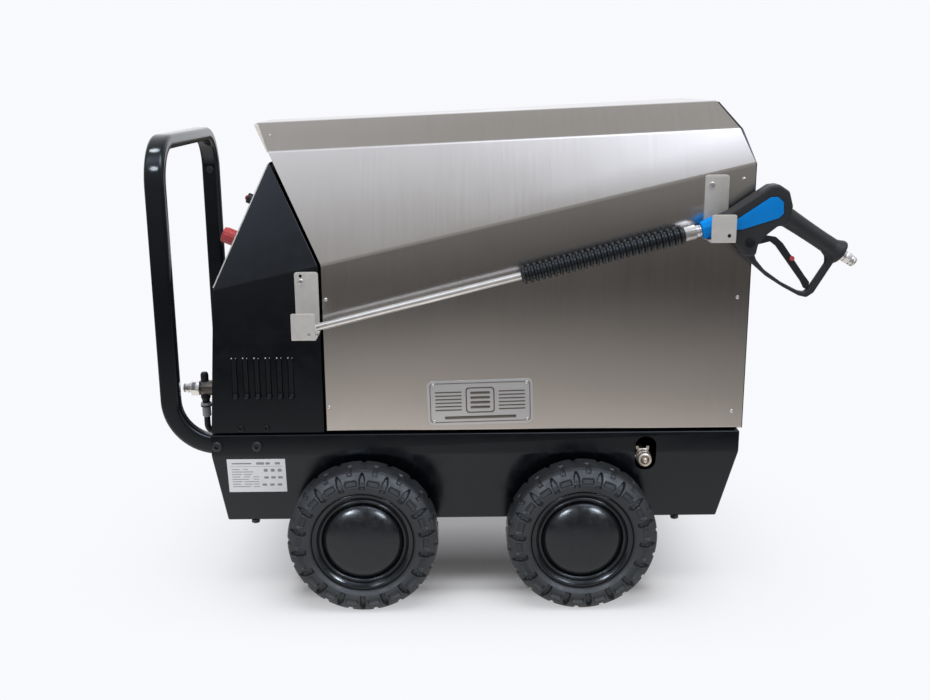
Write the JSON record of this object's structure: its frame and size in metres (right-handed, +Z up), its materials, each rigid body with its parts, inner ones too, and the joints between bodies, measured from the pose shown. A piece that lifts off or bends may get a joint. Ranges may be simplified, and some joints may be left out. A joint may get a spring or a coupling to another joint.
{
  "type": "pressure washer",
  "caption": "Commercial pressure washer: stainless hood and black console on a wheeled tray, with push handle, side hooks, lance and trigger gun.",
  "frame": {"origin": "on the floor, under the middle of the overall length and width", "axes": "+X along the machine from the push handle to the gun, +Y to the side away from the lance, +Z up"},
  "size_m": [1.1794, 0.6206, 0.863],
  "materials": {
    "black_paint": "black powder coat, fine orange peel, satin",
    "black_plastic": "moulded black plastic, satin",
    "tyre_rubber": "black rubber, matt, slightly dusty",
    "stainless": "stainless sheet, fine grain, satin",
    "bright_steel": "polished stainless or nickel plate",
    "hook_metal": "bare sheet metal, satin",
    "blue_plastic": "moulded blue plastic, semi-gloss",
    "red_plastic": "moulded red plastic, semi-gloss",
    "label_white": "white printed film",
    "brass": "machined brass",
    "grey_plastic": "moulded grey plastic",
    "cast_grey": "grey painted casting",
    "tank_plastic": "moulded polyethylene"
  },
  "bodies": {
    "root": {"chassis_tray": "black_paint", "axle_front": "bright_steel", "axle_rear": "bright_steel", "push_handle": "black_paint", "handle_screw_near_outer": "black_paint", "handle_screw_near_inner": "black_paint", "handle_screw_far_outer": "black_paint", "handle_screw_far_inner": "black_paint", "hood": "stainless", "rear_panel": "black_paint", "console_housing": "black_paint", "control_panel": "hook_metal", "lamp_shroud": "black_plastic", "pilot_lamp": "red_plastic", "outlet_block": "black_plastic", "outlet_nut": "bright_steel", "outlet_nipple": "bright_steel", "cable_gland": "grey_plastic", "supply_cable": "black_plastic", "water_inlet": "bright_steel", "inlet_strainer": "red_plastic", "nameplate": "hook_metal", "rating_plate": "label_white", "lance_hook_front": "hook_metal", "lance_hook_rear": "hook_metal", "hook_screw_front": "bright_steel", "hook_screw_rear": "bright_steel", "electric_motor": "cast_grey", "pump": "brass", "water_tank": "tank_plastic", "electrical_box": "grey_plastic"},
    "wheel_front_near": {"tyre_front_near": "tyre_rubber", "rim_front_near": "black_plastic", "hub_cap_front_near": "black_plastic"},
    "wheel_front_far": {"tyre_front_far": "tyre_rubber", "rim_front_far": "black_plastic", "hub_cap_front_far": "black_plastic"},
    "wheel_rear_near": {"tyre_rear_near": "tyre_rubber", "rim_rear_near": "black_plastic", "hub_cap_rear_near": "black_plastic"},
    "wheel_rear_far": {"tyre_rear_far": "tyre_rubber", "rim_rear_far": "black_plastic", "hub_cap_rear_far": "black_plastic"},
    "lance": {"lance_tube": "bright_steel", "nozzle": "bright_steel", "lance_grip": "black_plastic", "lance_nut": "bright_steel", "gun_collar": "blue_plastic", "gun_shell_near": "black_plastic", "gun_shell_far": "black_plastic", "gun_insert_near": "blue_plastic", "gun_insert_far": "blue_plastic", "gun_valve": "brass", "trigger_pin": "black_plastic"},
    "trigger": {"trigger": "black_plastic"},
    "trigger_lock": {"trigger_lock": "red_plastic"},
    "swivel": {"gun_swivel": "bright_steel"},
    "switch": {"main_switch_knob": "red_plastic"},
    "rotor": {"motor_shaft": "bright_steel"}
  },
  "joints": [
    {"name": "wheel_front_near_spin", "type": "hinge", "parent": "root", "child": "wheel_front_near", "pos_m": [-0.23965, -0.271, 0.13], "axis": [0, 1, 0], "continuous": true},
    {"name": "wheel_front_far_spin", "type": "hinge", "parent": "root", "child": "wheel_front_far", "pos_m": [-0.23965, 0.271, 0.13], "axis": [0, 1, 0], "continuous": true},
    {"name": "wheel_rear_near_spin", "type": "hinge", "parent": "root", "child": "wheel_rear_near", "pos_m": [0.13835, -0.271, 0.13], "axis": [0, 1, 0], "continuous": true},
    {"name": "wheel_rear_far_spin", "type": "hinge", "parent": "root", "child": "wheel_rear_far", "pos_m": [0.13835, 0.271, 0.13], "axis": [0, 1, 0], "continuous": true},
    {"name": "lance_lift", "type": "slide", "parent": "root", "child": "lance", "axis": [0, 0, 1], "range_m": [0, 0.12]},
    {"name": "trigger_pull", "type": "hinge", "parent": "lance", "child": "trigger", "pos_m": [0.40569, -0.255, 0.63785], "axis": [0, -1, 0], "range_deg": [0, 18], "stiffness_Nm_per_rad": 2},
    {"name": "trigger_lock_slide", "type": "slide", "parent": "trigger", "child": "trigger_lock", "axis": [0, 1, 0], "range_m": [0, 0.003]},
    {"name": "gun_swivel_spin", "type": "hinge", "parent": "lance", "child": "swivel", "pos_m": [0.56128, -0.255, 0.61702], "axis": [0.8381, 0, -0.5455], "continuous": true},
    {"name": "main_switch_turn", "type": "hinge", "parent": "root", "child": "switch", "pos_m": [-0.44866, -0.15, 0.642], "axis": [-0.9156, 0, 0.402], "range_deg": [0, 90]},
    {"name": "motor_shaft_spin", "type": "hinge", "parent": "root", "child": "rotor", "pos_m": [0, 0, 0.262], "axis": [1, 0, 0], "continuous": true}
  ]
}
